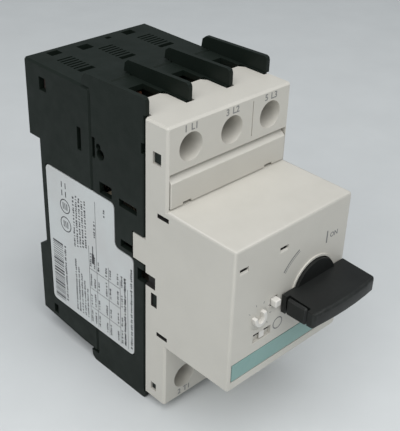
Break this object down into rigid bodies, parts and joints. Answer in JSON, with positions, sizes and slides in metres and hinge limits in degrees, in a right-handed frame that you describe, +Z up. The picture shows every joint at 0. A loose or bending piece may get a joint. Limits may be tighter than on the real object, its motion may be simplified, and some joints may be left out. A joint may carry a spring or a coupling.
{
  "type": "motor protection breaker",
  "caption": "Three-pole motor protection breaker for a 35 mm rail: stepped grey front with a rotary knob, black base, phase barriers, screw terminals and a working trip mechanism.",
  "frame": {"origin": "middle of the bounding box bottom face, in the plane of the lower barrier ends", "axes": "+X to the right of someone facing the knob, +Y from the front to the rail, +Z up towards the line terminals"},
  "size_m": [0.045, 0.097, 0.097],
  "materials": {
    "black_plastic": "matte",
    "grey_plastic": "satin",
    "knob_plastic": "satin",
    "white_plastic": "satin",
    "mechanism_plastic": "satin",
    "teal_strip": "satin",
    "paper_label": "matte",
    "steel": "satin",
    "spring_steel": "satin",
    "copper": "satin",
    "bimetal": "satin",
    "arc_fibre": "matte"
  },
  "bodies": {
    "housing": {"base_housing": "black_plastic", "body_housing": "black_plastic", "front_cover": "grey_plastic", "auxiliary_slot_cover": "grey_plastic", "front_strip": "teal_strip", "rating_label": "paper_label", "mechanism_frame": "steel", "toggle_spring": "spring_steel", "latch_pin": "steel", "rail_latch_spring": "spring_steel", "line_rail_1": "copper", "trip_coil_1": "copper", "bimetal_1": "bimetal", "load_rail_1": "copper", "arc_chute_1": "arc_fibre", "line_rail_2": "copper", "trip_coil_2": "copper", "bimetal_2": "bimetal", "load_rail_2": "copper", "arc_chute_2": "arc_fibre", "line_rail_3": "copper", "trip_coil_3": "copper", "bimetal_3": "bimetal", "load_rail_3": "copper", "arc_chute_3": "arc_fibre"},
    "knob": {"rotary_knob": "knob_plastic", "drive_cam": "mechanism_plastic"},
    "padlock": {"padlock_slide": "knob_plastic"},
    "carrier": {"contact_carrier": "mechanism_plastic", "contact_spring_1": "spring_steel", "contact_spring_2": "spring_steel", "contact_spring_3": "spring_steel"},
    "bridge_1": {"contact_bridge_1": "copper"},
    "bridge_2": {"contact_bridge_2": "copper"},
    "bridge_3": {"contact_bridge_3": "copper"},
    "trip_shaft": {"trip_bar": "mechanism_plastic"},
    "latch": {"latch_lever": "steel"},
    "plunger_1": {"trip_plunger_1": "steel"},
    "plunger_2": {"trip_plunger_2": "steel"},
    "plunger_3": {"trip_plunger_3": "steel"},
    "overload": {"overload_slide": "mechanism_plastic"},
    "dial": {"setting_dial": "white_plastic"},
    "test": {"test_slide": "white_plastic"},
    "lockout": {"lockout_pin": "white_plastic"},
    "rail_foot": {"rail_latch": "black_plastic"},
    "line_clamp_1": {"line_clamp_1": "copper"},
    "line_screw_1": {"line_screw_1": "steel"},
    "line_clamp_2": {"line_clamp_2": "copper"},
    "line_screw_2": {"line_screw_2": "steel"},
    "line_clamp_3": {"line_clamp_3": "copper"},
    "line_screw_3": {"line_screw_3": "steel"},
    "load_clamp_1": {"load_clamp_1": "copper"},
    "load_screw_1": {"load_screw_1": "steel"},
    "load_clamp_2": {"load_clamp_2": "copper"},
    "load_screw_2": {"load_screw_2": "steel"},
    "load_clamp_3": {"load_clamp_3": "copper"},
    "load_screw_3": {"load_screw_3": "steel"}
  },
  "joints": [
    {"name": "knob_turn", "type": "hinge", "parent": "housing", "child": "knob", "pos_m": [0.0091, -0.0373, 0.0449], "axis": [0, 1, 0], "range_deg": [0, 90]},
    {"name": "padlock_pull", "type": "slide", "parent": "knob", "child": "padlock", "axis": [-1, 0, 0], "range_m": [0, 0.006]},
    {"name": "carrier_travel", "type": "slide", "parent": "housing", "child": "carrier", "axis": [0, 1, 0], "range_m": [0, 0.0042]},
    {"name": "bridge_1_float", "type": "slide", "parent": "carrier", "child": "bridge_1", "axis": [0, -1, 0], "range_m": [0, 0.0008], "stiffness_N_per_m": 800},
    {"name": "bridge_2_float", "type": "slide", "parent": "carrier", "child": "bridge_2", "axis": [0, -1, 0], "range_m": [0, 0.0008], "stiffness_N_per_m": 800},
    {"name": "bridge_3_float", "type": "slide", "parent": "carrier", "child": "bridge_3", "axis": [0, -1, 0], "range_m": [0, 0.0008], "stiffness_N_per_m": 800},
    {"name": "trip_shaft_turn", "type": "hinge", "parent": "housing", "child": "trip_shaft", "pos_m": [0, 0.0065, 0.0445], "axis": [-1, 0, 0], "range_deg": [0, 14], "stiffness_Nm_per_rad": 0.002},
    {"name": "latch_turn", "type": "hinge", "parent": "housing", "child": "latch", "pos_m": [0.005, 0.0015, 0.058], "axis": [-1, 0, 0], "range_deg": [0, 10]},
    {"name": "plunger_1_strike", "type": "slide", "parent": "housing", "child": "plunger_1", "axis": [0, -1, 0], "range_m": [0, 0.002]},
    {"name": "plunger_2_strike", "type": "slide", "parent": "housing", "child": "plunger_2", "axis": [0, -1, 0], "range_m": [0, 0.002]},
    {"name": "plunger_3_strike", "type": "slide", "parent": "housing", "child": "plunger_3", "axis": [0, -1, 0], "range_m": [0, 0.002]},
    {"name": "overload_travel", "type": "slide", "parent": "housing", "child": "overload", "axis": [1, 0, 0], "range_m": [0, 0.002], "stiffness_N_per_m": 40},
    {"name": "dial_turn", "type": "hinge", "parent": "housing", "child": "dial", "pos_m": [-0.0123, -0.0361, 0.0439], "axis": [0, 1, 0], "range_deg": [-90, 120]},
    {"name": "test_push", "type": "slide", "parent": "housing", "child": "test", "axis": [-1, 0, 0], "range_m": [0, 0.002], "stiffness_N_per_m": 200},
    {"name": "lockout_press", "type": "slide", "parent": "housing", "child": "lockout", "axis": [0, 1, 0], "range_m": [0, 0.0015], "stiffness_N_per_m": 300},
    {"name": "rail_foot_pull", "type": "slide", "parent": "housing", "child": "rail_foot", "axis": [0, 0, -1], "range_m": [0, 0.003], "stiffness_N_per_m": 1500, "deforming": ["rail_latch_spring"]},
    {"name": "line_clamp_1_travel", "type": "slide", "parent": "housing", "child": "line_clamp_1", "axis": [0, -1, 0], "range_m": [0, 0.0021]},
    {"name": "line_screw_1_turn", "type": "hinge", "parent": "line_clamp_1", "child": "line_screw_1", "pos_m": [-0.0146, 0.0022, 0.0848], "axis": [0, -1, 0], "range_deg": [0, 1080]},
    {"name": "line_clamp_2_travel", "type": "slide", "parent": "housing", "child": "line_clamp_2", "axis": [0, -1, 0], "range_m": [0, 0.0021]},
    {"name": "line_screw_2_turn", "type": "hinge", "parent": "line_clamp_2", "child": "line_screw_2", "pos_m": [0, 0.0022, 0.0848], "axis": [0, -1, 0], "range_deg": [0, 1080]},
    {"name": "line_clamp_3_travel", "type": "slide", "parent": "housing", "child": "line_clamp_3", "axis": [0, -1, 0], "range_m": [0, 0.0021]},
    {"name": "line_screw_3_turn", "type": "hinge", "parent": "line_clamp_3", "child": "line_screw_3", "pos_m": [0.0146, 0.0022, 0.0848], "axis": [0, -1, 0], "range_deg": [0, 1080]},
    {"name": "load_clamp_1_travel", "type": "slide", "parent": "housing", "child": "load_clamp_1", "axis": [0, -1, 0], "range_m": [0, 0.0021]},
    {"name": "load_screw_1_turn", "type": "hinge", "parent": "load_clamp_1", "child": "load_screw_1", "pos_m": [-0.0146, 0.0022, 0.01], "axis": [0, -1, 0], "range_deg": [0, 1080]},
    {"name": "load_clamp_2_travel", "type": "slide", "parent": "housing", "child": "load_clamp_2", "axis": [0, -1, 0], "range_m": [0, 0.0021]},
    {"name": "load_screw_2_turn", "type": "hinge", "parent": "load_clamp_2", "child": "load_screw_2", "pos_m": [0, 0.0022, 0.01], "axis": [0, -1, 0], "range_deg": [0, 1080]},
    {"name": "load_clamp_3_travel", "type": "slide", "parent": "housing", "child": "load_clamp_3", "axis": [0, -1, 0], "range_m": [0, 0.0021]},
    {"name": "load_screw_3_turn", "type": "hinge", "parent": "load_clamp_3", "child": "load_screw_3", "pos_m": [0.0146, 0.0022, 0.01], "axis": [0, -1, 0], "range_deg": [0, 1080]}
  ],
  "couplings": [
    {"joint": "carrier_travel", "follows": "knob_turn", "m_per_rad": 0.0026738},
    {"joint": "plunger_2_strike", "follows": "plunger_1_strike", "ratio": 1},
    {"joint": "plunger_3_strike", "follows": "plunger_1_strike", "ratio": 1},
    {"joint": "trip_shaft_turn", "follows": "plunger_1_strike", "rad_per_m": 122.17},
    {"joint": "latch_turn", "follows": "plunger_1_strike", "rad_per_m": 87.26},
    {"joint": "line_screw_1_turn", "follows": "line_clamp_1_travel", "rad_per_m": 8976},
    {"joint": "line_screw_2_turn", "follows": "line_clamp_2_travel", "rad_per_m": 8976},
    {"joint": "line_screw_3_turn", "follows": "line_clamp_3_travel", "rad_per_m": 8976},
    {"joint": "load_screw_1_turn", "follows": "load_clamp_1_travel", "rad_per_m": 8976},
    {"joint": "load_screw_2_turn", "follows": "load_clamp_2_travel", "rad_per_m": 8976},
    {"joint": "load_screw_3_turn", "follows": "load_clamp_3_travel", "rad_per_m": 8976}
  ]
}
